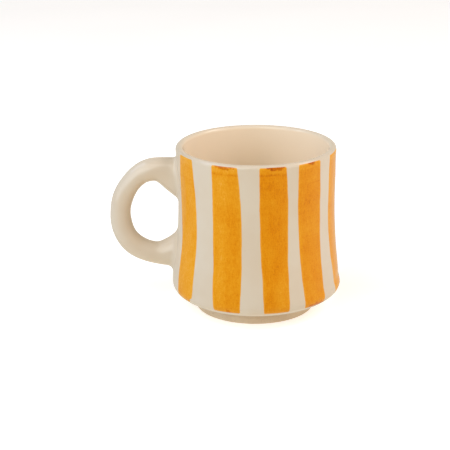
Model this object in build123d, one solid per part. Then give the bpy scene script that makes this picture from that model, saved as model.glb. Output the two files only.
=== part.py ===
from build123d import *
from math import cos, radians, sin
import os

# A hand-painted stoneware mug: a full-bellied cup on a small foot, a round loop
# handle and ten broad brushed stripes. Millimetres. +Z is up, the origin is on
# the cup's axis in the plane that it stands on, and the handle points along -X.
# Outlines of the cup are drawn as (radius, height).

# Cup
CUP_HEIGHT = 89.2
WALL = 3.9
FLOOR = 4.8
BASE_RADIUS = 32.8
BELLY_RADIUS = 44.9
BELLY_HEIGHT = 16.3
LIP_RADIUS = 42.55
LIP_ROUND = WALL / 2
LIP_CENTRE_HEIGHT = CUP_HEIGHT - LIP_ROUND
INNER_CORNER_RADIUS = 11.0
# The wall is this much thicker just above the inner corner
CORNER_THICKENING = 0.3
# The rounded underside of the belly turns up through these points
BELLY_TURN = [(41.3, 8.4), (44.3, 11.5)]
UNDERSIDE_RISE = 0.06
# The long taper above the belly, and the waist below the lip
TAPER = (43.15, 34.4)
WAIST = (41.75, 63.0)
LIP_FLARE = 0.05

# Foot ring
FOOT_HEIGHT = 6.6
FOOT_OUTER_RADIUS = 31.9
FOOT_INNER_RADIUS = 26.4
FOOT_TAPER = 0.4
FOOT_EDGE_ROUND = 1.0

# Handle
HANDLE_RADIUS = 5.45
HANDLE_SECTIONS = 17
# The line through the middle of the loop, as (x, z) from the upper end to the lower.
# Both ends start inside the cup's wall, which trims them.
HANDLE_LINE = [
    (-34.0, 68.6),
    (-40.0, 71.7),
    (-46.5, 73.8),
    (-55.2, 75.5),
    (-66.4, 67.4),
    (-72.2, 50.6),
    (-67.2, 35.0),
    (-55.0, 29.1),
    (-46.0, 29.3),
    (-40.0, 30.3),
    (-34.0, 31.8),
]
# The section swells from the outermost point of the loop to both of its ends,
# more in the plane of the loop than across it
FLARE_FROM = -72.1
FLARE_TO = -43.0
FLARE_POWER = 3
FLARE_TALL = 4.2
FLARE_WIDE = 1.1

# The slip that lutes each end of the handle to the cup
SLIP_LAYER = 0.6
SLIP_FILLET = 2.0

# Stripes
STRIPE_DEPTH = 0.3
STRIPE_TOP = 86.6
STRIPE_BOTTOM = 10.0
STRIPE_CORNER = 1.6
# Each stripe's left and right edges at its top, middle and foot, in degrees round
# the axis from -Y towards +X. They wander, because a brush laid them.
STRIPE_EDGES = [
    ((-68.6, -66.2, -66.0), (-49.8, -46.3, -48.8)),
    ((-31.9, -31.1, -29.5), (-12.4, -9.6, -11.0)),
    ((2.6, 3.3, 5.3), (21.8, 23.2, 23.8)),
    ((30.8, 31.7, 36.0), (51.2, 52.6, 54.6)),
    ((64.0, 65.0, 69.6), (84.2, 85.6, 86.4)),
    ((96.8, 96.2, 97.6), (116.8, 117.4, 116.0)),
    ((128.4, 129.6, 130.6), (149.6, 149.0, 147.6)),
    ((162.0, 161.0, 162.4), (181.6, 182.4, 183.0)),
    ((194.2, 195.4, 196.0), (214.6, 215.0, 213.4)),
    ((226.6, 226.0, 227.2), (245.6, 246.4, 244.0)),
]
# The cup's radius where those three edges are given, and the heights
STRIPE_HEIGHTS = (STRIPE_TOP, 48.0, STRIPE_BOTTOM)
STRIPE_RADII = (42.5, 42.1, 43.4)
CUTTER_REACH = 60.0
CUTTER_CLEARANCE = 1.0


def spun(edges):
    """Spin a closed outline round the cup's axis."""
    return revolve(Plane.XZ * make_face(edges), axis=Axis.Z)


def outer_line(inset=0.0):
    """The cup's outside from its flat base to its lip, or a line that far inside it."""
    slant = inset * cos(radians(45))
    roll = Spline(
        (BASE_RADIUS, FOOT_HEIGHT + inset),
        *[(radius - slant, height + slant) for radius, height in BELLY_TURN],
        (BELLY_RADIUS - inset, BELLY_HEIGHT),
        tangents=[(1, UNDERSIDE_RISE), (0, 1)],
    )
    side = Spline(
        (BELLY_RADIUS - inset, BELLY_HEIGHT),
        (TAPER[0] - inset, TAPER[1]),
        (WAIST[0] - inset, WAIST[1]),
        (LIP_RADIUS - inset, LIP_CENTRE_HEIGHT),
        tangents=[(0, 1), (LIP_FLARE, 1)],
    )
    return [roll, side]


def solid_blank(inset=0.0):
    """The cup as a block with no hollow, or one that far inside it."""
    line = outer_line(inset)
    low, high = line[0] @ 0, line[1] @ 1
    rest = Polyline(high, (0, high.Y), (0, low.Y), low)
    return spun(line + [rest])


def plain_cup():
    """The wall, floor and rounded lip, before the stripes are let in."""
    floor_height = FOOT_HEIGHT + FLOOR
    inner_radius = LIP_RADIUS - WALL
    corner_top = (BELLY_RADIUS - WALL - CORNER_THICKENING, floor_height + INNER_CORNER_RADIUS)
    outside = outer_line()
    lip = ThreePointArc(
        (LIP_RADIUS, LIP_CENTRE_HEIGHT),
        (LIP_RADIUS - LIP_ROUND, CUP_HEIGHT),
        (inner_radius, LIP_CENTRE_HEIGHT),
    )
    inside = Spline(
        (inner_radius, LIP_CENTRE_HEIGHT),
        (WAIST[0] - WALL, WAIST[1]),
        (TAPER[0] - WALL, TAPER[1]),
        corner_top,
        tangents=[(-LIP_FLARE, -1), (0, -1)],
    )
    corner = JernArc(corner_top, (0, -1), INNER_CORNER_RADIUS, -90)
    rest = Polyline(corner @ 1, (0, floor_height), (0, FOOT_HEIGHT), outside[0] @ 0)
    return spun(outside + [lip, inside, corner, rest])


def foot_ring():
    """The ring that the mug stands on, with its two standing edges rounded."""
    outline = Polygon(
        (FOOT_INNER_RADIUS, FOOT_HEIGHT),
        (FOOT_INNER_RADIUS + FOOT_TAPER, 0),
        (FOOT_OUTER_RADIUS - FOOT_TAPER, 0),
        (FOOT_OUTER_RADIUS, FOOT_HEIGHT),
        align=None,
    )
    low_corners = outline.vertices().sort_by(Axis.Y)[:2]
    return revolve(Plane.XZ * fillet(low_corners, FOOT_EDGE_ROUND), axis=Axis.Z)


def handle_swell(x):
    """How much of the full flare the section has, from 0 far out to 1 at the cup."""
    share = (x - FLARE_FROM) / (FLARE_TO - FLARE_FROM)
    return min(max(share, 0.0), 1.0) ** FLARE_POWER


def handle_loop():
    """The handle before it is trimmed to the cup, lofted through its sections."""
    line = Spline([(x, 0, z) for x, z in HANDLE_LINE])
    sections = []
    for i in range(HANDLE_SECTIONS):
        place = i / (HANDLE_SECTIONS - 1)
        centre = line @ place
        swell = handle_swell(centre.X)
        plane = Plane(origin=centre, x_dir=(0, 1, 0), z_dir=line % place)
        wide = HANDLE_RADIUS + FLARE_WIDE * swell
        tall = HANDLE_RADIUS + FLARE_TALL * swell
        sections.append(plane * Ellipse(wide, tall))
    return loft(sections)


def handle_and_slips():
    """The trimmed handle, and the two slips that fill and round its joints."""
    loop = handle_loop()
    blank = solid_blank()
    joined = blank + loop
    filleted = fillet(new_edges(blank, loop, combined=joined), SLIP_FILLET)
    handle = loop - solid_blank(-SLIP_LAYER)
    slips = (filleted - blank - handle).solids().sort_by(Axis.Z)
    return handle, slips[1], slips[0]


def stripe_cutter(left, right):
    """A prism that points out from the axis, with the outline of one stripe."""
    middle = (left[1] + right[1]) / 2
    turn = radians(middle)
    plane = Plane((0, 0, 0), x_dir=(cos(turn), sin(turn), 0), z_dir=(sin(turn), -cos(turn), 0))

    def edge_points(angles):
        places = zip(angles, STRIPE_RADII, STRIPE_HEIGHTS)
        return [(r * sin(radians(a - middle)), z) for a, r, z in places]

    left_edge = Spline(edge_points(left))
    right_edge = Spline(edge_points(right))
    top = Line(left_edge @ 0, right_edge @ 0)
    foot = Line(left_edge @ 1, right_edge @ 1)
    outline = make_face([left_edge, foot, right_edge, top])
    outline = fillet(outline.vertices(), STRIPE_CORNER)
    return extrude(plane * outline, CUTTER_REACH)


def cup_and_stripes():
    """The cup with a shallow recess for each stripe, and the stripes that fill them."""
    cup = plain_cup()
    skin = solid_blank(-CUTTER_CLEARANCE) - solid_blank(STRIPE_DEPTH)
    recesses = [stripe_cutter(left, right) & skin for left, right in STRIPE_EDGES]
    stripes = [cup & recess for recess in recesses]
    for recess in recesses:
        cup -= recess
    return cup, stripes


def main():
    os.makedirs("parts", exist_ok=True)
    cup, stripes = cup_and_stripes()
    handle, upper_slip, lower_slip = handle_and_slips()
    nodes = {
        "cup": cup,
        "foot_ring": foot_ring(),
        "handle": handle,
        "upper_handle_joint": upper_slip,
        "lower_handle_joint": lower_slip,
    }
    for number, stripe in enumerate(stripes, start=1):
        nodes[f"stripe_{number:02d}"] = stripe
    for name, shape in nodes.items():
        export_step(shape, f"parts/{name}.step")


main()
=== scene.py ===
import math

import bpy
import numpy as np
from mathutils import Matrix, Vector, noise


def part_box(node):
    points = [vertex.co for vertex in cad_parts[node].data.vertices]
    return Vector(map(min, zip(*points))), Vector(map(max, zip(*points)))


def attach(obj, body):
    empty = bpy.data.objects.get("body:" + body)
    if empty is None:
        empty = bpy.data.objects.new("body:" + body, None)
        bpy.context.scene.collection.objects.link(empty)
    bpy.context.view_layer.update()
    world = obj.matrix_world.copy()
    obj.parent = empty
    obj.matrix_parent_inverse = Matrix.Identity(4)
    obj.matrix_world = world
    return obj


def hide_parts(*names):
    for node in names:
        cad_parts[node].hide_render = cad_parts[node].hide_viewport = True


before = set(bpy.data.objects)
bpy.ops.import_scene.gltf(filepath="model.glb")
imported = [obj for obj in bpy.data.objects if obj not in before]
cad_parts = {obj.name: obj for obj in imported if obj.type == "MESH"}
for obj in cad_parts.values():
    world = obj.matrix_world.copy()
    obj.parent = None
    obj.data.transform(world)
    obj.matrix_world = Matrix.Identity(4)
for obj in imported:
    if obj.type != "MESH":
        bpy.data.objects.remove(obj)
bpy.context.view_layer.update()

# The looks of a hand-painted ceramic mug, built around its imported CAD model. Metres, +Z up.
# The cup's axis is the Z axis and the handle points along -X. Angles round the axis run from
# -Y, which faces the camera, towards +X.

MM = 0.001


# ---------------------------------------------------------------- sizes and places

# Heights and radii that the CAD model gives
CUP_LOW, CUP_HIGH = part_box("cup")
STRIPE_LOW, STRIPE_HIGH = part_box("stripe_03")
RIM_HEIGHT = CUP_HIGH.z
BASE_HEIGHT = CUP_LOW.z
FOOT_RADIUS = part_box("foot_ring")[1].x

# The cup, drawn as (radius, height) through the same few points as the CAD model
WALL = 3.9 * MM
FLOOR = 4.8 * MM
LIP_ROUND = WALL / 2
LIP_CENTRE = (42.55 * MM, RIM_HEIGHT - LIP_ROUND)
BASE_RADIUS = 32.8 * MM
BELLY = (CUP_HIGH.y, 16.3 * MM)
BELLY_TURN = [(41.3 * MM, 8.4 * MM), (44.3 * MM, 11.5 * MM)]
TAPER = (43.15 * MM, 34.4 * MM)
WAIST = (41.75 * MM, 63.0 * MM)
INNER_CORNER = 11.0 * MM
CORNER_THICKENING = 0.3 * MM
# How much the outline rises as it leaves the base, and how much it flares at the lip
UNDERSIDE_RISE, LIP_FLARE = 0.06, 0.05
# Steps round the cup, and points along each stretch of its outline
ROUND_STEPS = 324
ROLL_POINTS, SIDE_POINTS, LIP_POINTS = 28, 90, 36
INSIDE_POINTS, CORNER_POINTS, FLOOR_POINTS, BASE_POINTS = 76, 22, 28, 30
# How many of the lip's points belong to the outside, where a stripe can lie
LIP_SHOWN = 15
# Inside this radius, one fan of faces closes the floor and another the base
INMOST = 1.0 * MM

# How far the wall strays from a true round: it leans a little to +X between the belly and the
# lip, the belly is fuller on that side, the lip is drawn in a little over the handle, and the
# wall has a few shallow waves, as (number round the cup, height, phase, phase per metre)
LEAN, LEAN_RISE, LEAN_FALL = 0.45 * MM, (24 * MM, 46 * MM), (70 * MM, 86 * MM)
FULLER_RIGHT, FULLER_LEFT, FULLEST, FULL_HALF = 1.05 * MM, 0.15 * MM, 13 * MM, 6 * MM
DRAWN_IN, DRAWN_RISE = 0.35 * MM, (76 * MM, 86 * MM)
WAVES = [(2, 0.10 * MM, 1.3, 18.0), (3, 0.06 * MM, -0.4, 41.0), (5, 0.03 * MM, 2.1, -63.0)]

# The foot ring, with its standing edges rounded, and flared where it meets the cup
FOOT_INNER, FOOT_OUTER = 26.4 * MM, FOOT_RADIUS + 0.3 * MM
FOOT_TAPER, FOOT_EDGE, FOOT_FLARE = 0.3 * MM, 0.6 * MM, 1.0 * MM
FOOT_SIDE_POINTS, FOOT_EDGE_POINTS = 26, 12
# Where each flare begins on the ring's sides, and how far both run on into the base
FLARE_OUTSIDE = (FOOT_OUTER + 0.2 * MM, BASE_HEIGHT - 1.3 * MM)
FLARE_INSIDE = (FOOT_INNER, BASE_HEIGHT - 1.0 * MM)
FOOT_SUNK = 0.3 * MM
# It stands a little off the cup's axis
FOOT_OFF_CENTRE = -0.4 * MM
# Turning left fine ridges up its outside and its inside, either side of this middle: their
# height, and their length over 2 pi
FOOT_MIDDLE = FOOT_RADIUS - 2.5 * MM
RIDGE, RIDGE_STEP = 0.03 * MM, 0.42 * MM

# The handle's middle line, as (x, z), and the radius of its section
HANDLE_LINE = np.array([
    (-31.0, 67.0), (-40.0, 71.8), (-46.5, 74.0), (-55.2, 75.2), (-66.6, 67.5), (-72.3, 50.6),
    (-67.2, 35.4), (-55.0, 29.4), (-46.0, 29.6), (-40.0, 30.4), (-31.0, 32.4),
]) * MM
HANDLE_RADIUS = 5.4 * MM
# How the section grows towards the cup: on the outside of the loop, on the inside of its lower
# end, and across the loop. A flare is (size, power, x where it starts), with its full size at
# FLARE_TO, and inside the wall it grows on to FLARE_MOST of that way.
FLARE_TO, FLARE_MOST = -40.0 * MM, 1.25
FLARES = ((5.6 * MM, 3, -72.1 * MM), (5.9 * MM, 1.5, -53.5 * MM), (2.0 * MM, 3, -72.1 * MM))
# The inside of the upper end bends into a nearly straight slope, given as (x, growth)
UPPER_SLOPE = np.array([
    (-61.5, 0.0), (-58.0, 0.38), (-55.0, 0.55), (-52.5, 0.75), (-50.8, 1.15),
    (-49.0, 1.85), (-46.5, 3.10), (-43.5, 4.50), (-40.5, 5.40), (-30.0, 6.60),
]) * MM
# The loop is a little thicker along its lower half, between these distances along it, and has
# shallow waves, as (height, phase per metre, phase per turn round the section, phase)
THICKER, THICKER_FROM, THICKER_TO = 0.3 * MM, (54 * MM, 66 * MM), (82 * MM, 94 * MM)
HANDLE_WAVES = [(0.06 * MM, 260, 0, 1.1), (0.05 * MM, 431, 2, 0)]
HANDLE_ROWS, HANDLE_COLUMNS, HANDLE_LINE_POINTS, SLOPE_POINTS = 300, 112, 900, 400
# How deep the handle's ends run into the wall, and the steps that the place is searched in
HANDLE_DEPTH = 1.9 * MM
SEARCH_STEPS = 700

# The slip at each joint: how far it reaches along the handle and over the wall, at the sides,
# on top and below. Its edges sink a little, which the power keeps close to the edge.
UPPER_REACH = (3.2 * MM, 1.8 * MM, 2.2 * MM)
LOWER_REACH = (3.2 * MM, 2.5 * MM, 3.2 * MM)
JOINT_SINK, SINK_POWER = 0.05 * MM, 6
JOINT_ROWS = 24
# The slip's hidden back, measured from the corner of handle and wall to the handle's middle,
# and into the wall
JOINT_BACK, JOINT_DEPTH = 1.2 * MM, 1.0 * MM

# Stripes: the angles of the left and right edge of each, in degrees, at five heights
STRIPE_HEIGHTS = np.array([88, 68, 48, 28, 11]) * MM
STRIPE_EDGES = [
    ((-67.2, -70.4, -67.9, -65.9, -66.6), (-49.8, -47.7, -46.6, -46.8, -51.2)),
    ((-31.3, -31.6, -31.4, -30.0, -29.6), (-12.4, -10.2, -9.5, -9.6, -10.4)),
    ((2.5, 2.7, 3.2, 4.5, 5.5), (21.6, 23.2, 23.1, 22.8, 23.3)),
    ((30.8, 30.8, 31.6, 32.9, 35.2), (51.2, 52.3, 52.2, 52.3, 53.6)),
    ((63.9, 63.8, 64.3, 66.8, 69.2), (84.2, 85.2, 85.6, 86.6, 86.0)),
    ((96.8, 96.2, 96.4, 97.4, 98.6), (116.4, 117.6, 117.2, 116.2, 116.6)),
    ((128.4, 129.4, 129.2, 130.6, 131.4), (149.2, 149.8, 149.0, 147.8, 148.2)),
    ((162.0, 160.8, 161.2, 162.2, 161.8), (181.2, 182.8, 182.2, 183.2, 184.0)),
    ((194.2, 195.6, 195.0, 196.2, 197.0), (214.8, 215.2, 214.6, 213.4, 214.4)),
    ((226.6, 225.8, 226.4, 227.4, 227.8), (245.2, 246.6, 246.0, 244.2, 245.0)),
]
# The brush started on the lip's round, a little above the CAD model's stripes, and stopped a
# little short of their feet
OVER_LIP, SHORT_OF_FOOT = 1.65 * MM, 0.5 * MM
STRIPE_TOP, STRIPE_FOOT = STRIPE_HIGH.z + OVER_LIP, STRIPE_LOW.z + SHORT_OF_FOOT
STRIPE_CORNER = 1.3 * MM
# How far the paint stands over the glaze, how far its edge and its hidden back lie under it,
# and how wide the roll of the edge is
PAINT_LIFT, PAINT_SINK, PAINT_BACK, PAINT_ROLL = 0.07 * MM, 0.12 * MM, 0.22 * MM, 0.18 * MM
STRIPE_ROWS, STRIPE_COLUMNS, EDGE_POINTS = 170, 44, 200
# The share of the rows' spacing that eases towards both ends of the stripe
ROW_EASE = 0.35

# How the brush strayed at a stripe's ends, and along its sides in broad waves, with finer ones
# that are a share of them. A rate is how many waves there are in a millimetre, or at the ends
# in half the stripe's width.
END_WAVE, END_WAVE_RATE = 0.16 * MM, 2.2
SIDE_WAVE, SIDE_WAVE_RATE = 0.20 * MM, 0.11
FINE_SHARE, FINE_WAVE_RATE = 0.35, 0.6
# Each stripe, each of its edges and its rim take their noise from a place of their own
SEED_STEP, END_SEED, RIM_SEED = 7.3, 0.5, 2
LEFT_EDGE, RIGHT_EDGE = 0, 9


# ---------------------------------------------------------------- how the paint lies

# Each stripe's paint, as (load, lines across it, patches, pools). A line is (millimetres down,
# width, load). A patch is (place across from -1 to 1, millimetres down, half its width on the
# same scale, half its length in millimetres, load). A pool is (end, place across, half its
# width, depth in millimetres).
BAND = (4.5, 0.55, 0.8)
PAINT = [
    (0.05, [(4.9, 0.5, 0.4), (11.2, 0.5, 0.5)], [(0.3, 62, 0.6, 14, -0.3)], []),
    (0.25, [BAND, (8.6, 0.4, 0.25), (12.0, 0.5, 0.25)],
     [(-0.5, 14, 0.6, 12, -0.2), (0.5, 48, 0.6, 24, 0.4), (0.1, 26, 0.7, 6, 0.25),
      (-0.4, 50, 0.35, 16, -0.3), (0.0, 72, 0.8, 7, 0.25)],
     [("top", 0.04, 0.85, 1.7), ("foot", 0.12, 0.25, 2.4)]),
    (0.75, [(4.4, 0.7, 0.8)],
     [(-0.4, 10.5, 0.6, 3.0, 0.4), (0.3, 13.0, 0.5, 2.0, 0.3), (-0.1, 33, 0.5, 6, 0.3),
      (0.15, 47, 0.3, 11, 0.2), (-0.5, 70, 0.25, 3, 0.3), (0.6, 64, 0.5, 12, -0.35),
      (0.3, 76, 0.7, 7, -0.3)],
     [("top", 0.20, 0.70, 2.0)]),
    (0.6, [(3.6, 0.5, 0.3), (11.0, 0.35, 0.5)],
     [(-0.2, 20, 0.7, 7.5, 0.4), (-0.4, 47, 0.3, 5, 0.25), (0.0, 57, 0.7, 6, 0.2)],
     [("top", 0.12, 0.36, 1.7), ("foot", 0.1, 0.85, 2.8)]),
    (0.2, [(5.0, 0.5, 0.4)], [(0.0, 30, 0.8, 12, 0.2)], []),
    (0.5, [BAND], [(0.3, 24, 0.6, 10, 0.4), (-0.3, 58, 0.5, 9, -0.3)],
     [("top", 0.2, 0.5, 0.9)]),
    (0.2, [(5.2, 0.5, 0.5)], [(-0.3, 40, 0.5, 14, 0.4)], [("top", -0.15, 0.6, 1.1)]),
    (0.6, [BAND, (10.4, 0.4, 0.3)], [(0.2, 60, 0.6, 10, 0.4)], [("top", 0.1, 0.5, 1.0)]),
    (0.3, [(4.0, 0.5, 0.6)], [(-0.2, 30, 0.6, 9, 0.4)],
     [("top", 0.3, 0.4, 1.0), ("foot", 0.2, 0.3, 0.5)]),
    (0.5, [BAND], [(0.4, 50, 0.5, 16, -0.3), (-0.2, 20, 0.6, 8, 0.4)],
     [("top", -0.2, 0.5, 0.8)]),
]
# The stroke starts this much thinner, and has its full load after these millimetres
THIN_START, FULL_LOAD = 0.35, (2.6, 4.2)
# The load that a pool adds, and the millimetres over which its edge fades
POOL_LOAD, POOL_FADE = {"top": 2.0, "foot": 1.1}, (-0.1, 0.4)
# The noise in the load: how fine it is, and how much it changes a line, a patch and a pool
ROUGH_RATE, LINE_ROUGH, PATCH_ROUGH, POOL_ROUGH = 0.9, 0.6, 0.8, 0.7
# The load of a line before that noise, as a share, and how many millimetres the line strays up
# and down: slowly over the stripe's width, and with the noise
LINE_SHARE, LINE_WAVE, LINE_WAVE_RATE, LINE_WAVE_ROUGH = 0.8, 0.5, 0.16, 0.25
# The thin bright rim: how strong it is, how wide in millimetres, how much that changes and how
# fast, and how far out the noise for its two sides is taken
RIM_STRENGTH, RIM_WIDTH, RIM_CHANGE, RIM_CHANGE_RATE, RIM_SIDE = 0.75, 0.28, 0.22, 0.08, 3


# ---------------------------------------------------------------- colours, light and camera

# Colours as 0 to 255 on a screen. Of a pair, the second shows in soft clouds over the first.
GLAZE = ((232, 220, 200), (229, 214, 191))
# The first colour here is the glaze inside the cup, painted brighter and warmer as painted bounce light
# in place of the light that the inner walls throw on each other. The second is its specks of clay.
GLAZE_INSIDE_PAINTED_BOUNCE, GLAZE_SPECK = (251, 235, 210), (176, 140, 96)
CLAY = ((226, 204, 173), (217, 192, 159))
CLAY_SAND = (168, 128, 86)
# The paint's colour by how much of it there is, from thin to a thick pool
PAINT_STOPS = [
    (0.0, (254, 186, 72)), (0.25, (247, 170, 30)), (0.5, (238, 148, 0)),
    (0.75, (216, 118, 0)), (1.0, (180, 80, 0)),
]
PAINT_RIM = (253, 200, 100)
# The loads of the thinnest and the thickest paint on that scale
THINNEST, THICKEST = -1.0, 3.0
# Layers of noise in the paint, as (waves per millimetre across and along the stripe, detail,
# roughness, load). The first is the streaks of the brush.
PAINT_LAYERS = [
    (0.75, 0.05, 2.0, 0.5, 0.5), (0.20, 0.10, 3.0, 0.5, 1.1), (1.7, 0.35, 2.0, 0.6, 1.8),
    (1.6, 1.3, 2.0, 0.7, 2.4), (0.07, 0.9, 2.0, 0.5, 0.5),
]
GLAZE_IOR, CLAY_IOR = 1.5, 1.45

# The pale backdrop that is seen past the end of the floor
BACKDROP = (227, 224, 220)
# The floor's half width, its two tones and how fine their clouds are, and its own light, which
# burns it out to plain white but for a trace of shadow
FLOOR_REACH = 6.0
FLOOR_TONES, FLOOR_CLOUDS = ((0.93, 0.93, 0.93, 1), (0.95, 0.95, 0.95, 1)), 9.0
FLOOR_GLOW = 0.45
# The colour and strength of the soft light from -X and +X, -Y and +Y, below and above
SKY = [
    ((0.34, 0.37, 0.41), (0.84, 0.82, 0.79)),
    ((0.30, 0.29, 0.26), (0.69, 0.63, 0.51)),
    ((1.22, 1.08, 0.86), (0.08, 0.05, 0.02)),
]
# Lamps, as (name, angle round the mug, angle above it, width, colour and watts)
LIT_POINT = Vector((0, 0, 45 * MM))
LAMP_REACH = 1.5
LAMPS = [
    ("front_left", -30, 15, 0.7, (3.0, 3.3, 3.5)),
    ("front_right", 30, 15, 0.7, (1.0, 0.55, 0.15)),
    ("left", -62, 15, 0.9, (3.3, 3.4, 3.9)),
    ("right", 60, 15, 0.7, (2.02, 1.81, 1.92)),
    ("high_left", -90, 45, 0.7, (3.2, 3.6, 4.5)),
    ("high_right", 90, 45, 0.7, (7.3, 6.6, 6.4)),
    ("high_front", -32, 42, 1.05, (6.3, 6.0, 5.5)),
]
# The camera stands at the photograph's viewing angle
EYE = Vector((0.0, -0.7, 0.2797))
LOOK_AT = Vector((0.0, 0.0, 0.044))
LENS, SENSOR = 110.0, 36.0
SHIFT = (-0.068, 0.001)


# ---------------------------------------------------------------- curves and meshes

def smooth_line(points, count, start=None, end=None):
    """Points spread evenly along the smooth cubic line through the given ones."""
    points = np.asarray(points, float)
    gaps = np.linalg.norm(np.diff(points, axis=0), axis=1)
    last = len(points) - 1
    start = points[1] - points[0] if start is None else np.array(start)
    end = points[-1] - points[-2] if end is None else np.array(end)
    matrix = np.eye(last + 1)
    right = np.zeros_like(points)
    right[0], right[last] = unit(start), unit(end)
    for i in range(1, last):
        before, after = gaps[i - 1], gaps[i]
        matrix[i, i - 1: i + 2] = after, 2 * (before + after), before
        right[i] = 3 * (after * (points[i] - points[i - 1]) / before
                        + before * (points[i + 1] - points[i]) / after)
    slopes = np.linalg.solve(matrix, right)
    knots = np.concatenate([[0], np.cumsum(gaps)])
    at = np.linspace(0, knots[-1], count)
    i = np.clip(np.searchsorted(knots, at, side="right") - 1, 0, last - 1)
    gap = gaps[i][:, None]
    t = ((at - knots[i]) / gaps[i])[:, None]
    return ((1 + 2 * t) * (1 - t) ** 2 * points[i] + t * (1 - t) ** 2 * gap * slopes[i]
            + t ** 2 * (3 - 2 * t) * points[i + 1] + t ** 2 * (t - 1) * gap * slopes[i + 1])


def lengths(line):
    """The distance along a line to each of its points."""
    return np.concatenate([[0], np.cumsum(np.linalg.norm(np.diff(line, axis=0), axis=1))])


def at_length(line, along, where):
    """The points of a line at the given distances along it."""
    columns = [np.interp(where, along, column) for column in line.T]
    return np.stack(columns, axis=-1)


def arc(centre, radius, start, end, count):
    """Points on an arc, with the angles in degrees from +radius towards +height."""
    turn = np.radians(np.linspace(start, end, count))
    return np.column_stack([centre[0] + radius * np.cos(turn), centre[1] + radius * np.sin(turn)])


def rise(x, low, high):
    """0 below low, 1 above high, and a smooth step between."""
    t = np.clip((np.asarray(x, float) - low) / (high - low), 0, 1)
    return t * t * (3 - 2 * t)


def unit(vectors):
    """The vectors made one unit long."""
    return vectors / np.linalg.norm(vectors, axis=-1, keepdims=True)


def full_turn(steps):
    """Angles spread evenly once round, in radians."""
    return np.linspace(0, 2 * np.pi, steps, endpoint=False)


def grid_faces(rows, columns, close_rows=False):
    """The quads of a grid of vertices whose columns go all the way round."""
    faces = []
    for i in range(rows if close_rows else rows - 1):
        below, above = i * columns, (i + 1) % rows * columns
        for j in range(columns):
            k = (j + 1) % columns
            faces.append((below + j, below + k, above + k, above + j))
    return faces


def fan(points, faces, first, columns, tip, flip):
    """Close the ring of vertices that starts at first with a fan to a new point."""
    points = np.vstack([points, tip])
    for j in range(columns):
        edge = (first + j, first + (j + 1) % columns)
        faces.append((*(reversed(edge) if flip else edge), len(points) - 1))
    return points


def add_object(name, data):
    """A new object in the scene, for a mesh, a lamp or a camera."""
    made = bpy.data.objects.new(name, data)
    bpy.context.scene.collection.objects.link(made)
    return made


def make_piece(name, points, faces, stands_for, material):
    """A smooth mesh that rides on the mug and stands for a CAD node."""
    mesh = bpy.data.meshes.new(name)
    mesh.from_pydata(np.asarray(points).tolist(), [], faces)
    mesh.shade_smooth()
    mesh.materials.append(material)
    piece = add_object(name, mesh)
    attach(piece, "root")
    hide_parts(stands_for)
    return piece


def store(piece, name, values, kind="FLOAT", field="value"):
    """Keep a value for each point of a mesh, for its material to read."""
    attribute = piece.data.attributes.new(name, kind, "POINT")
    attribute.data.foreach_set(field, np.asarray(values, np.float32).ravel())


# ---------------------------------------------------------------- materials

def linear(colour):
    """A colour given as 0 to 255 on a screen, as the shader's linear values."""
    values = np.array(colour) / 255
    low, high = values / 12.92, ((values + 0.055) / 1.055) ** 2.4
    return (*np.where(values <= 0.04045, low, high).tolist(), 1.0)


class Nodes:
    """The node tree of a material or of the world, and the few steps that building it needs."""

    def __init__(self, owner):
        owner.use_nodes = True
        self.owner = owner
        self.tree = owner.node_tree
        self.surface = self.tree.nodes.get("Principled BSDF")

    def fill(self, socket, value):
        """Give an input a value, or link another node's output to it."""
        if isinstance(value, bpy.types.NodeSocket):
            self.tree.links.new(value, socket)
        else:
            socket.default_value = value

    def set(self, node, inputs):
        """Fill a node's inputs, given by name or number."""
        for key, value in inputs.items():
            self.fill(node.inputs[key], value)

    def add(self, kind, inputs=None, **settings):
        """A new node, with its settings and inputs."""
        node = self.tree.nodes.new(kind)
        for key, value in settings.items():
            setattr(node, key, value)
        self.set(node, inputs or {})
        return node

    def place(self):
        """Where a point is on the object, in metres."""
        return self.add("ShaderNodeTexCoord").outputs["Object"]

    def stored(self, name, output="Fac"):
        """A value that the mesh keeps for each of its points."""
        return self.add("ShaderNodeAttribute", attribute_name=name).outputs[output]

    def noise(self, vector, scale, detail=3.0, rough=0.5):
        inputs = {"Vector": vector, "Scale": scale, "Detail": detail, "Roughness": rough}
        return self.add("ShaderNodeTexNoise", inputs).outputs["Fac"]

    def remap(self, value, low, high, to_low=0.0, to_high=1.0, kind="SMOOTHSTEP"):
        """Stretch low to high over another range."""
        inputs = {"Value": value, "From Min": low, "From Max": high, "To Min": to_low, "To Max": to_high}
        return self.add("ShaderNodeMapRange", inputs, interpolation_type=kind).outputs["Result"]

    def mix(self, share, first, second):
        node = self.add("ShaderNodeMix", data_type="RGBA")
        inputs = [socket for socket in node.inputs if socket.enabled]
        for socket, value in zip(inputs, (share, first, second)):
            self.fill(socket, value)
        return next(socket for socket in node.outputs if socket.enabled)

    def maths(self, operation, first, second):
        return self.add("ShaderNodeMath", {0: first, 1: second}, operation=operation).outputs[0]

    def scaled(self, vector, x, y, z):
        inputs = {0: vector, 1: (x, y, z)}
        return self.add("ShaderNodeVectorMath", inputs, operation="MULTIPLY").outputs[0]

    def bump(self, height, distance):
        return self.add("ShaderNodeBump", {"Height": height, "Distance": distance}).outputs["Normal"]


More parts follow.
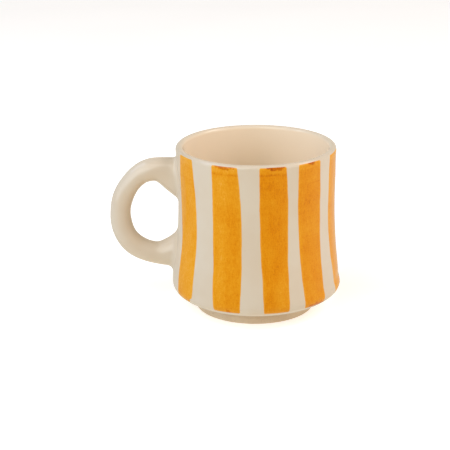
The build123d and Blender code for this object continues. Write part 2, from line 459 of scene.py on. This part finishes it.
def cream_glaze():
    """Glossy cream glaze: faint clouds of tone, fine specks of clay, and painted bounce light that makes
    it brighter and warmer inside the cup.
    """
    cloud_scale, wave_scale, gloss_scale = 38.0, 210.0, 60.0
    speck_scale, speck_size_scale, speck_strength = 420.0, 150.0, 0.16
    nodes = Nodes(bpy.data.materials.new("cream_glaze"))
    place = nodes.place()
    clouds = nodes.remap(nodes.noise(place, cloud_scale), 0.35, 0.65)
    colour = nodes.mix(clouds, linear(GLAZE[0]), linear(GLAZE[1]))
    # Inside the cup the colour is painted brighter and warmer: painted bounce light.
    colour = nodes.mix(nodes.stored("inside"), colour, linear(GLAZE_INSIDE_PAINTED_BOUNCE))
    specks = nodes.add("ShaderNodeTexVoronoi", {"Vector": place, "Scale": speck_scale}, feature="F1")
    size = nodes.remap(nodes.noise(place, speck_size_scale, 2.0), 0.5, 0.8, 0.02, 0.13)
    dots = nodes.maths("LESS_THAN", specks.outputs["Distance"], size)
    colour = nodes.mix(nodes.maths("MULTIPLY", dots, speck_strength), colour, linear(GLAZE_SPECK))
    nodes.set(nodes.surface, {
        "Base Color": colour, "IOR": GLAZE_IOR,
        "Roughness": nodes.remap(nodes.noise(place, gloss_scale), 0.3, 0.7, 0.06, 0.09),
        "Normal": nodes.bump(nodes.noise(place, wave_scale, 2.0), 0.02 * MM)})
    return nodes.owner


def amber_paint():
    """Brushed amber under the glaze, from thin and yellow to thick, dark and brown."""
    nodes = Nodes(bpy.data.materials.new("amber_stripe"))
    brush = nodes.stored("brush", "Vector")
    load = nodes.stored("load")
    layers = []
    for across, along, detail, rough, amount in PAINT_LAYERS:
        layer = nodes.noise(nodes.scaled(brush, across, along, 1.0), 1.0, detail, rough)
        change = nodes.maths("MULTIPLY", nodes.maths("SUBTRACT", layer, 0.5), amount)
        load = nodes.maths("ADD", load, change)
        layers.append(layer)
    streaks = layers[0]
    thickness = nodes.remap(load, THINNEST, THICKEST, kind="LINEAR")
    ramp = nodes.add("ShaderNodeValToRGB", {"Fac": thickness})
    stops = ramp.color_ramp.elements
    while len(stops) < len(PAINT_STOPS):
        stops.new(0.5)
    for stop, (position, colour) in zip(stops, PAINT_STOPS):
        stop.position = position
        stop.color = linear(colour)
    nodes.set(nodes.surface, {
        "Base Color": nodes.mix(nodes.stored("rim"), ramp.outputs["Color"], linear(PAINT_RIM)),
        "Roughness": nodes.remap(streaks, 0.3, 0.7, 0.08, 0.12),
        "IOR": GLAZE_IOR, "Specular IOR Level": 0.2, "Normal": nodes.bump(streaks, 0.02 * MM)})
    return nodes.owner


def bare_clay():
    """Unglazed clay: a matt, sandy surface with faint turning lines."""
    cloud_scale, sand_scale, rings_round, rings_up = 90.0, 1500.0, 6.0, 1600.0
    nodes = Nodes(bpy.data.materials.new("bare_clay"))
    place = nodes.place()
    clouds = nodes.remap(nodes.noise(place, cloud_scale, 4.0), 0.3, 0.7)
    colour = nodes.mix(clouds, linear(CLAY[0]), linear(CLAY[1]))
    sand = nodes.noise(place, sand_scale, 2.0, 0.8)
    colour = nodes.mix(nodes.remap(sand, 0.56, 0.75, 0.0, 0.4), colour, linear(CLAY_SAND))
    rings = nodes.noise(nodes.scaled(place, rings_round, rings_round, rings_up), 1.0, 2.0)
    nodes.set(nodes.surface, {
        "Base Color": colour, "Roughness": 0.8, "IOR": CLAY_IOR,
        "Normal": nodes.bump(nodes.maths("ADD", rings, sand), 0.04 * MM)})
    return nodes.owner


# ---------------------------------------------------------------- the cup and its foot

def stray(angle, height):
    """How far the wall stands out from its true radius at this place."""
    lean = LEAN * rise(height, *LEAN_RISE) * (1 - rise(height, *LEAN_FALL))
    full = np.clip(1 - ((height - FULLEST) / FULL_HALF) ** 2, 0, 1) ** 2
    side = np.sin(angle)
    right, left = np.clip(side, 0, 1), np.clip(-side, 0, 1)
    out = lean * side + full * (FULLER_RIGHT * right ** 1.5 + FULLER_LEFT * left ** 1.5)
    out = out - DRAWN_IN * rise(height, *DRAWN_RISE) * left ** 2
    for count, size, phase, twist in WAVES:
        out = out + size * np.sin(count * angle + phase + twist * height)
    return out


def around(angle, radius, height):
    """The point at an angle round the axis, a radius and a height."""
    x, y, z = np.broadcast_arrays(radius * np.sin(angle), -radius * np.cos(angle), height)
    return np.stack([x, y, z], axis=-1)


# The outside of the cup from its base to the top of its lip
ROLL = smooth_line([(BASE_RADIUS, BASE_HEIGHT), *BELLY_TURN, BELLY], ROLL_POINTS,
                   start=(1, UNDERSIDE_RISE), end=(0, 1))
SIDE = smooth_line([BELLY, TAPER, WAIST, LIP_CENTRE], SIDE_POINTS, start=(0, 1), end=(LIP_FLARE, 1))
LIP = arc((LIP_CENTRE[0] - LIP_ROUND, LIP_CENTRE[1]), LIP_ROUND, 0, 180, LIP_POINTS)
OUTSIDE = np.concatenate([ROLL, SIDE[1:], LIP[1:LIP_SHOWN]])
UP_WALL = lengths(OUTSIDE)
WALL_WAY = np.gradient(OUTSIDE, UP_WALL, axis=0)
WALL_OUT = unit(np.column_stack([WALL_WAY[:, 1], -WALL_WAY[:, 0]]))


def on_wall(angle, along, lift):
    """The point at an angle and a distance up the cup's outline, lifted off the wall."""
    place = at_length(OUTSIDE, UP_WALL, along)
    out = at_length(WALL_OUT, UP_WALL, along)
    radius, height = np.moveaxis(place + np.expand_dims(lift, -1) * out, -1, 0)
    return around(angle, radius + stray(angle, height), height)


def wall_radius(angle, height):
    """The radius of the cup's outside at an angle and a height."""
    return np.interp(height, OUTSIDE[:, 1], OUTSIDE[:, 0]) + stray(angle, height)


def spin(outline, close_rows=False):
    """Vertices and faces of an outline of (radius, height) spun round the axis."""
    angle = full_turn(ROUND_STEPS)
    radius, height = outline[:, :1], outline[:, 1:]
    radius = radius + stray(angle, height) * np.clip(radius / BASE_RADIUS, 0, 1)
    points = around(angle, radius, height).reshape(-1, 3)
    return points, grid_faces(len(outline), ROUND_STEPS, close_rows)


def make_cup(material):
    """The wall, floor and rounded lip, which are one skin with the glazed base."""
    floor_height = BASE_HEIGHT + FLOOR
    inner_lip = (LIP_CENTRE[0] - WALL, LIP_CENTRE[1])
    corner_top = (BELLY[0] - WALL - CORNER_THICKENING, floor_height + INNER_CORNER)
    inside = smooth_line(
        [inner_lip, (WAIST[0] - WALL, WAIST[1]), (TAPER[0] - WALL, TAPER[1]), corner_top],
        INSIDE_POINTS, start=(-LIP_FLARE, -1), end=(0, -1))
    corner_centre = (corner_top[0] - INNER_CORNER, corner_top[1])
    corner = arc(corner_centre, INNER_CORNER, 0, -90, CORNER_POINTS)
    floor = smooth_line([corner[-1], (INMOST, floor_height)], FLOOR_POINTS)
    base = smooth_line([(INMOST, BASE_HEIGHT), (BASE_RADIUS, BASE_HEIGHT)], BASE_POINTS)
    outline = np.concatenate([base[:-1], OUTSIDE, LIP[LIP_SHOWN:], inside[1:], corner[1:], floor[1:]])
    points, faces = spin(outline)
    last = (len(outline) - 1) * ROUND_STEPS
    points = fan(points, faces, last, ROUND_STEPS, (0, 0, floor_height), flip=False)
    points = fan(points, faces, 0, ROUND_STEPS, (0, 0, BASE_HEIGHT), flip=True)
    cup = make_piece("cup_glazed", points, faces, "cup", material)
    # The share of each point that takes the brighter inside colour (painted bounce light), rising across
    # the inner half of the lip.
    over_lip = len(base) - 1 + len(OUTSIDE)
    painted_bounce_share = rise(np.arange(len(outline)), over_lip, over_lip + len(LIP) - LIP_SHOWN)
    floor_tip, base_tip = 1, 0
    store(cup, "inside", np.append(np.repeat(painted_bounce_share, ROUND_STEPS), [floor_tip, base_tip]))


def make_foot(material):
    """The turned ring that the mug stands on, with soft edges and a small flare under the cup."""
    sunk = BASE_HEIGHT + FOOT_SUNK
    outer_edge = FOOT_OUTER - FOOT_TAPER
    inner_edge = FOOT_INNER + FOOT_TAPER
    outline = np.concatenate([
        smooth_line([(FOOT_OUTER + FOOT_FLARE, sunk), FLARE_OUTSIDE, (outer_edge, FOOT_EDGE)],
                    FOOT_SIDE_POINTS, start=(-0.8, -1), end=(-0.05, -1)),
        arc((outer_edge - FOOT_EDGE, FOOT_EDGE), FOOT_EDGE, 0, -90, FOOT_EDGE_POINTS)[1:],
        arc((inner_edge + FOOT_EDGE, FOOT_EDGE), FOOT_EDGE, -90, -180, FOOT_EDGE_POINTS),
        smooth_line([(inner_edge, FOOT_EDGE), FLARE_INSIDE, (FOOT_INNER - FOOT_FLARE, sunk)],
                    FOOT_SIDE_POINTS, start=(-0.05, 1), end=(-0.8, 1))[1:],
    ])
    radius, height = outline.T
    ridges = RIDGE * np.sin(height / RIDGE_STEP) * (height > FOOT_EDGE)
    outline[:, 0] += ridges * np.sign(radius - FOOT_MIDDLE)
    points, faces = spin(outline[::-1], close_rows=True)
    points[:, 0] += FOOT_OFF_CENTRE
    make_piece("foot_ring_turned", points, faces, "foot_ring", material)


# ---------------------------------------------------------------- the handle and its joints

HANDLE = smooth_line(HANDLE_LINE, HANDLE_LINE_POINTS)
ALONG_HANDLE = lengths(HANDLE)
HANDLE_WAY = unit(np.gradient(HANDLE, ALONG_HANDLE, axis=0))
OUTERMOST = ALONG_HANDLE[HANDLE[:, 0].argmin()]
SLOPE = smooth_line(UPPER_SLOPE, SLOPE_POINTS, start=(1, 0))


def handle_surface(along, turn):
    """The point of the handle at a distance along it and an angle round its section.

    At turn 0 it is on the outside of the loop, and at pi on the inside."""
    centre = at_length(HANDLE, ALONG_HANDLE, along)
    x = centre[..., 0]
    way = unit(at_length(HANDLE_WAY, ALONG_HANDLE, along))
    outward = np.stack([way[..., 1], -way[..., 0]], axis=-1)
    radius = HANDLE_RADIUS + THICKER * rise(along, *THICKER_FROM) * (1 - rise(along, *THICKER_TO))
    for size, per_metre, per_turn, phase in HANDLE_WAVES:
        radius = radius + size * np.sin(per_metre * along + per_turn * turn + phase)
    outside, lower_inside, across = (
        size * np.clip((x - start) / (FLARE_TO - start), 0, FLARE_MOST) ** power
        for size, power, start in FLARES)
    upper_inside = np.interp(x, SLOPE[:, 0], SLOPE[:, 1])
    inside = np.where(along < OUTERMOST, upper_inside, lower_inside)
    tall = (radius + np.where(np.cos(turn) > 0, outside, inside)) * np.cos(turn)
    wide = (radius + across) * np.sin(turn)
    return np.stack([x + tall * outward[..., 0], wide, centre[..., 1] + tall * outward[..., 1]], axis=-1)


def round_axis(points):
    """The radius, angle and height of each point."""
    x, y, z = np.moveaxis(points, -1, 0)
    return np.hypot(x, y), np.arctan2(x, -y), z


def off_wall(points):
    """How far outside the cup's wall each point is, or if negative how deep in it."""
    radius, angle, height = round_axis(points)
    return radius - wall_radius(angle, height)


def onto_wall(points, lift):
    """Points moved straight in or out to stand a distance off the cup's wall."""
    radius, angle, height = round_axis(points)
    return around(angle, wall_radius(angle, height) + lift, height)


def reach_wall(turn, upper, depth):
    """How far along the handle the line at each turn comes to the given depth in the wall."""
    along = np.linspace(0 if upper else ALONG_HANDLE[-1], OUTERMOST, SEARCH_STEPS)
    found = []
    for angle in turn:
        outside = off_wall(handle_surface(along, angle)) + depth
        i = np.flatnonzero(outside < 0)[-1]
        share = outside[i] / (outside[i] - outside[i + 1])
        found.append(along[i] + share * (along[i + 1] - along[i]))
    return np.array(found)


def make_handle(material):
    """The pulled loop, closed at both ends a little inside the wall."""
    turn = full_turn(HANDLE_COLUMNS)
    first = reach_wall(turn, True, HANDLE_DEPTH)
    last = reach_wall(turn, False, HANDLE_DEPTH)
    share = np.linspace(0, 1, HANDLE_ROWS)[:, None]
    points = handle_surface(first + share * (last - first), turn).reshape(-1, 3)
    faces = grid_faces(HANDLE_ROWS, HANDLE_COLUMNS)
    final = (HANDLE_ROWS - 1) * HANDLE_COLUMNS
    start, end = points[:HANDLE_COLUMNS].mean(axis=0), points[final:].mean(axis=0)
    points = fan(points, faces, 0, HANDLE_COLUMNS, start, flip=True)
    points = fan(points, faces, final, HANDLE_COLUMNS, end, flip=False)
    make_piece("handle_pulled", points, faces, "handle", material)


def make_joint(upper, node, material):
    """The smoothed slip round one end of the handle, a closed ring that laps on to both."""
    turn = full_turn(HANDLE_COLUMNS)
    meet = reach_wall(turn, upper, 0.0)
    corner = handle_surface(meet, turn)
    centre = corner.mean(axis=0)
    away = unit(corner - centre)
    height = corner[:, 2] - centre[2]
    top, bottom = (rise(height, 0, end)[:, None] for end in (height.max(), height.min()))
    beside, above, below = UPPER_REACH if upper else LOWER_REACH
    reach = beside + (above - beside) * top + (below - beside) * bottom
    outward = 1 if upper else -1
    t = np.linspace(0, 1, JOINT_ROWS)[:, None]
    along = meet + outward * reach[:, 0] * (1 - t)
    core_x, core_z = np.moveaxis(at_length(HANDLE, ALONG_HANDLE, along), -1, 0)
    core = np.stack([core_x, 0 * along, core_z], axis=-1)
    on_handle = handle_surface(along, turn + 0 * along)
    on_handle -= JOINT_SINK * (1 - t[..., None]) ** SINK_POWER * unit(on_handle - core)
    on_cup = onto_wall(corner + t[..., None] * reach * away, -JOINT_SINK * t ** SINK_POWER)
    share = rise(t, 0, 1)[..., None]
    skin = (1 - share) * on_handle + share * on_cup
    back = onto_wall(corner - JOINT_BACK * away, -JOINT_DEPTH)
    points = np.concatenate([skin, back[None]])
    faces = grid_faces(len(points), HANDLE_COLUMNS, close_rows=True)
    if upper:
        faces = [face[::-1] for face in faces]
    make_piece(node + "_slip", points.reshape(-1, 3), faces, node, material)


# ---------------------------------------------------------------- the stripes

def edge_angle(angles, height):
    """The angle of a stripe's edge at each height, on a smooth line through the given ones."""
    line = smooth_line(np.column_stack([STRIPE_HEIGHTS, np.radians(angles)])[::-1], EDGE_POINTS)
    return np.interp(height, line[:, 0], line[:, 1])


def brush_noise(across, down, seed):
    """Smooth noise from -1 to 1 at places on a stripe."""
    across, down = np.broadcast_arrays(across, down)
    values = [noise.noise(Vector((x, y, seed))) for x, y in zip(across.flat, down.flat)]
    return np.array(values).reshape(across.shape)


class StripeGrid:
    """The vertices of a stripe, in rows from its top to its foot and columns to the right.

    across runs from -1 to 1, along up the cup's outline in metres, angle round the axis, and
    travel down from the top in millimetres. sideways is millimetres from the stripe's middle
    line, and from_rim metres from its nearest edge."""

    def __init__(self, left, right, seed):
        self.seed = seed
        ease = np.linspace(0, np.pi, STRIPE_ROWS)[:, None]
        down = ROW_EASE * (1 - np.cos(ease)) / 2 + (1 - ROW_EASE) * ease / np.pi
        self.across = -np.cos(np.linspace(0, np.pi, STRIPE_COLUMNS))
        ends = (STRIPE_TOP + PAINT_ROLL, STRIPE_FOOT - PAINT_ROLL)
        high, low = np.interp(ends, OUTSIDE[:, 1], UP_WALL)
        wave = END_WAVE * brush_noise(self.across * END_WAVE_RATE, 0, seed + END_SEED)
        self.along = (high + wave) * (1 - down) + (low - wave) * down
        self.travel = (high - self.along) / MM
        radius, height = np.moveaxis(at_length(OUTSIDE, UP_WALL, self.along), -1, 0)
        from_end = np.minimum(high - self.along, self.along - low)
        past_corner = np.clip(STRIPE_CORNER - from_end, 0, STRIPE_CORNER)
        inset = STRIPE_CORNER - np.sqrt(STRIPE_CORNER ** 2 - past_corner ** 2) - PAINT_ROLL
        left_at = edge_angle(left, height) + (self.side_wave(LEFT_EDGE) + inset) / radius
        right_at = edge_angle(right, height) + (self.side_wave(RIGHT_EDGE) - inset) / radius
        self.angle = left_at + (right_at - left_at) * (self.across + 1) / 2
        half_width = (right_at - left_at) / 2 * radius
        self.sideways = self.across * half_width / MM
        self.from_rim = np.minimum((1 - abs(self.across)) * half_width, from_end)

    def side_wave(self, edge):
        """How far to the right the brush strayed from the line of the stripe's edge."""
        broad = brush_noise(self.travel * SIDE_WAVE_RATE, edge, self.seed)
        fine = brush_noise(self.travel * FINE_WAVE_RATE, edge, self.seed)
        return SIDE_WAVE * (broad + FINE_SHARE * fine)


def lay_paint(grid, lay):
    """The load of paint at each vertex of a stripe, and the strength of its thin bright rim."""
    load, lines, patches, pools = lay
    travel, sideways, seed = grid.travel, grid.sideways, grid.seed
    rough = brush_noise(sideways * ROUGH_RATE, travel * ROUGH_RATE, seed)
    change = brush_noise(np.sign(grid.across) * RIM_SIDE, travel * RIM_CHANGE_RATE, seed + RIM_SEED)
    rim_width = RIM_WIDTH + RIM_CHANGE * change.clip(-0.5, 1)
    rim = RIM_STRENGTH * np.exp(-(grid.from_rim - PAINT_ROLL) / MM / rim_width)
    load = load - THIN_START * (1 - rise(travel, *FULL_LOAD))
    for down, width, amount in lines:
        wave = LINE_WAVE * brush_noise(sideways * LINE_WAVE_RATE, down, seed) + LINE_WAVE_ROUGH * rough
        line = np.exp(-((travel - down + wave) / width) ** 2)
        load = load + amount * (LINE_SHARE + LINE_ROUGH * rough) * line
    for middle, down, half_width, half_length, amount in patches:
        far = ((grid.across - middle) / half_width) ** 2 + ((travel - down) / half_length) ** 2
        load = load + amount * (1 + PATCH_ROUGH * rough) * np.exp(-far)
    for end, middle, half_width, depth in pools:
        far = travel if end == "top" else travel.max() - travel
        bow = np.sqrt(np.clip(1 - ((grid.across - middle) / half_width) ** 2, 0, 1))
        reach = depth * bow * (1 + POOL_ROUGH * rough)
        pooled = rise(reach - far, *POOL_FADE) * (reach > 0)
        load = load + POOL_LOAD[end] * pooled
        rim = rim * (1 - pooled)
    return load, rim.clip(0, 1)


def front_and_back(front, back):
    """One grid whose columns run over the front of a stripe and return over its back."""
    return np.concatenate([front, back[:, ::-1]], axis=1)


def skin_faces(rows, columns):
    """The faces of a stripe's skin: its front and back, two sides and two ends."""
    around_both = 2 * columns
    faces = [face[::-1] for face in grid_faces(rows, around_both)]
    final = (rows - 1) * around_both
    for j in range(columns - 1):
        k = around_both - 1 - j
        faces.append((j, j + 1, k - 1, k))
        faces.append((final + k, final + k - 1, final + j + 1, final + j))
    return faces


def make_stripe(number, left, right, lay, material):
    """One brushed stripe: a thin closed skin of paint whose edges roll under the glaze."""
    grid = StripeGrid(left, right, SEED_STEP * number)
    lift = PAINT_LIFT - (PAINT_LIFT + PAINT_SINK) * np.exp(-grid.from_rim / PAINT_ROLL)
    front = on_wall(grid.angle, grid.along, lift)
    back = on_wall(grid.angle, grid.along, -PAINT_BACK)
    points = front_and_back(front, back).reshape(-1, 3)
    faces = skin_faces(STRIPE_ROWS, STRIPE_COLUMNS)
    node = f"stripe_{number:02d}"
    piece = make_piece(node + "_paint", points, faces, node, material)
    brush = np.stack([grid.sideways, grid.travel, np.full_like(grid.travel, grid.seed)], axis=-1)
    load, rim = lay_paint(grid, lay)
    store(piece, "brush", front_and_back(brush, brush), "FLOAT_VECTOR", "vector")
    store(piece, "rim", front_and_back(rim, rim))
    store(piece, "load", front_and_back(load, load))


# ---------------------------------------------------------------- floor, light and camera

def make_floor():
    """A plain pale floor that neither lights the mug nor shows in its glaze."""
    corners = [(FLOOR_REACH * x, FLOOR_REACH * y, 0) for x, y in ((-1, -1), (1, -1), (1, 1), (-1, 1))]
    mesh = bpy.data.meshes.new("floor")
    mesh.from_pydata(corners, [], [(0, 1, 2, 3)])
    nodes = Nodes(bpy.data.materials.new("floor_paper"))
    clouds = nodes.remap(nodes.noise(nodes.place(), FLOOR_CLOUDS), 0.3, 0.7)
    nodes.set(nodes.surface, {
        "Base Color": nodes.mix(clouds, *FLOOR_TONES), "Roughness": 0.9,
        "Emission Color": (1, 1, 1, 1), "Emission Strength": FLOOR_GLOW})
    mesh.materials.append(nodes.owner)
    floor = add_object("floor", mesh)
    floor.visible_diffuse = False
    floor.visible_glossy = False


def make_lamp(name, angle, height_angle, width, watts):
    """A soft square lamp, at angles in degrees round and above the mug, that points at it."""
    light = bpy.data.lights.new(name, "AREA")
    light.shape = "SQUARE"
    light.size = width
    light.energy = max(watts)
    light.color = [part / max(watts) for part in watts]
    turn, up = math.radians(angle), math.radians(height_angle)
    way = Vector((math.cos(up) * math.sin(turn), -math.cos(up) * math.cos(turn), math.sin(up)))
    lamp = add_object(name, light)
    lamp.location = LIT_POINT + LAMP_REACH * way
    lamp.rotation_euler = (-way).to_track_quat("-Z", "Y").to_euler()
    lamp.visible_camera = False


def make_world():
    """Soft light from all round, with its own colour from each of the six directions."""
    world = bpy.data.worlds.new("studio")
    bpy.context.scene.world = world
    nodes = Nodes(world)
    way = nodes.add("ShaderNodeTexCoord").outputs["Generated"]
    total = (0, 0, 0)
    for part, (back, ahead) in zip(nodes.add("ShaderNodeSeparateXYZ", {0: way}).outputs, SKY):
        light = nodes.mix(nodes.maths("GREATER_THAN", part, 0.0), (*back, 1), (*ahead, 1))
        share = nodes.maths("MULTIPLY", part, part)
        scaled = nodes.add("ShaderNodeVectorMath", {0: light, "Scale": share}, operation="SCALE")
        added = nodes.add("ShaderNodeVectorMath", {0: total, 1: scaled.outputs[0]}, operation="ADD")
        total = added.outputs[0]
    seen = nodes.add("ShaderNodeLightPath").outputs["Is Camera Ray"]
    nodes.set(nodes.tree.nodes["Background"], {"Color": nodes.mix(seen, total, linear(BACKDROP))})


def make_camera():
    """The camera, and colours that reach the screen as they are."""
    lens = bpy.data.cameras.new("camera")
    lens.lens = LENS
    lens.sensor_width = SENSOR
    lens.shift_x, lens.shift_y = SHIFT
    camera = add_object("camera", lens)
    camera.location = EYE
    camera.rotation_euler = (LOOK_AT - EYE).to_track_quat("-Z", "Y").to_euler()
    bpy.context.scene.camera = camera
    bpy.context.scene.view_settings.view_transform = "Standard"


# ---------------------------------------------------------------- the whole scene

make_camera()
make_floor()
make_world()
for lamp_settings in LAMPS:
    make_lamp(*lamp_settings)
glaze, paint, clay = cream_glaze(), amber_paint(), bare_clay()
make_cup(glaze)
make_foot(clay)
make_handle(glaze)
make_joint(True, "upper_handle_joint", glaze)
make_joint(False, "lower_handle_joint", glaze)
for number, ((left, right), lay) in enumerate(zip(STRIPE_EDGES, PAINT), start=1):
    make_stripe(number, left, right, lay, paint)

bpy.context.view_layer.update()
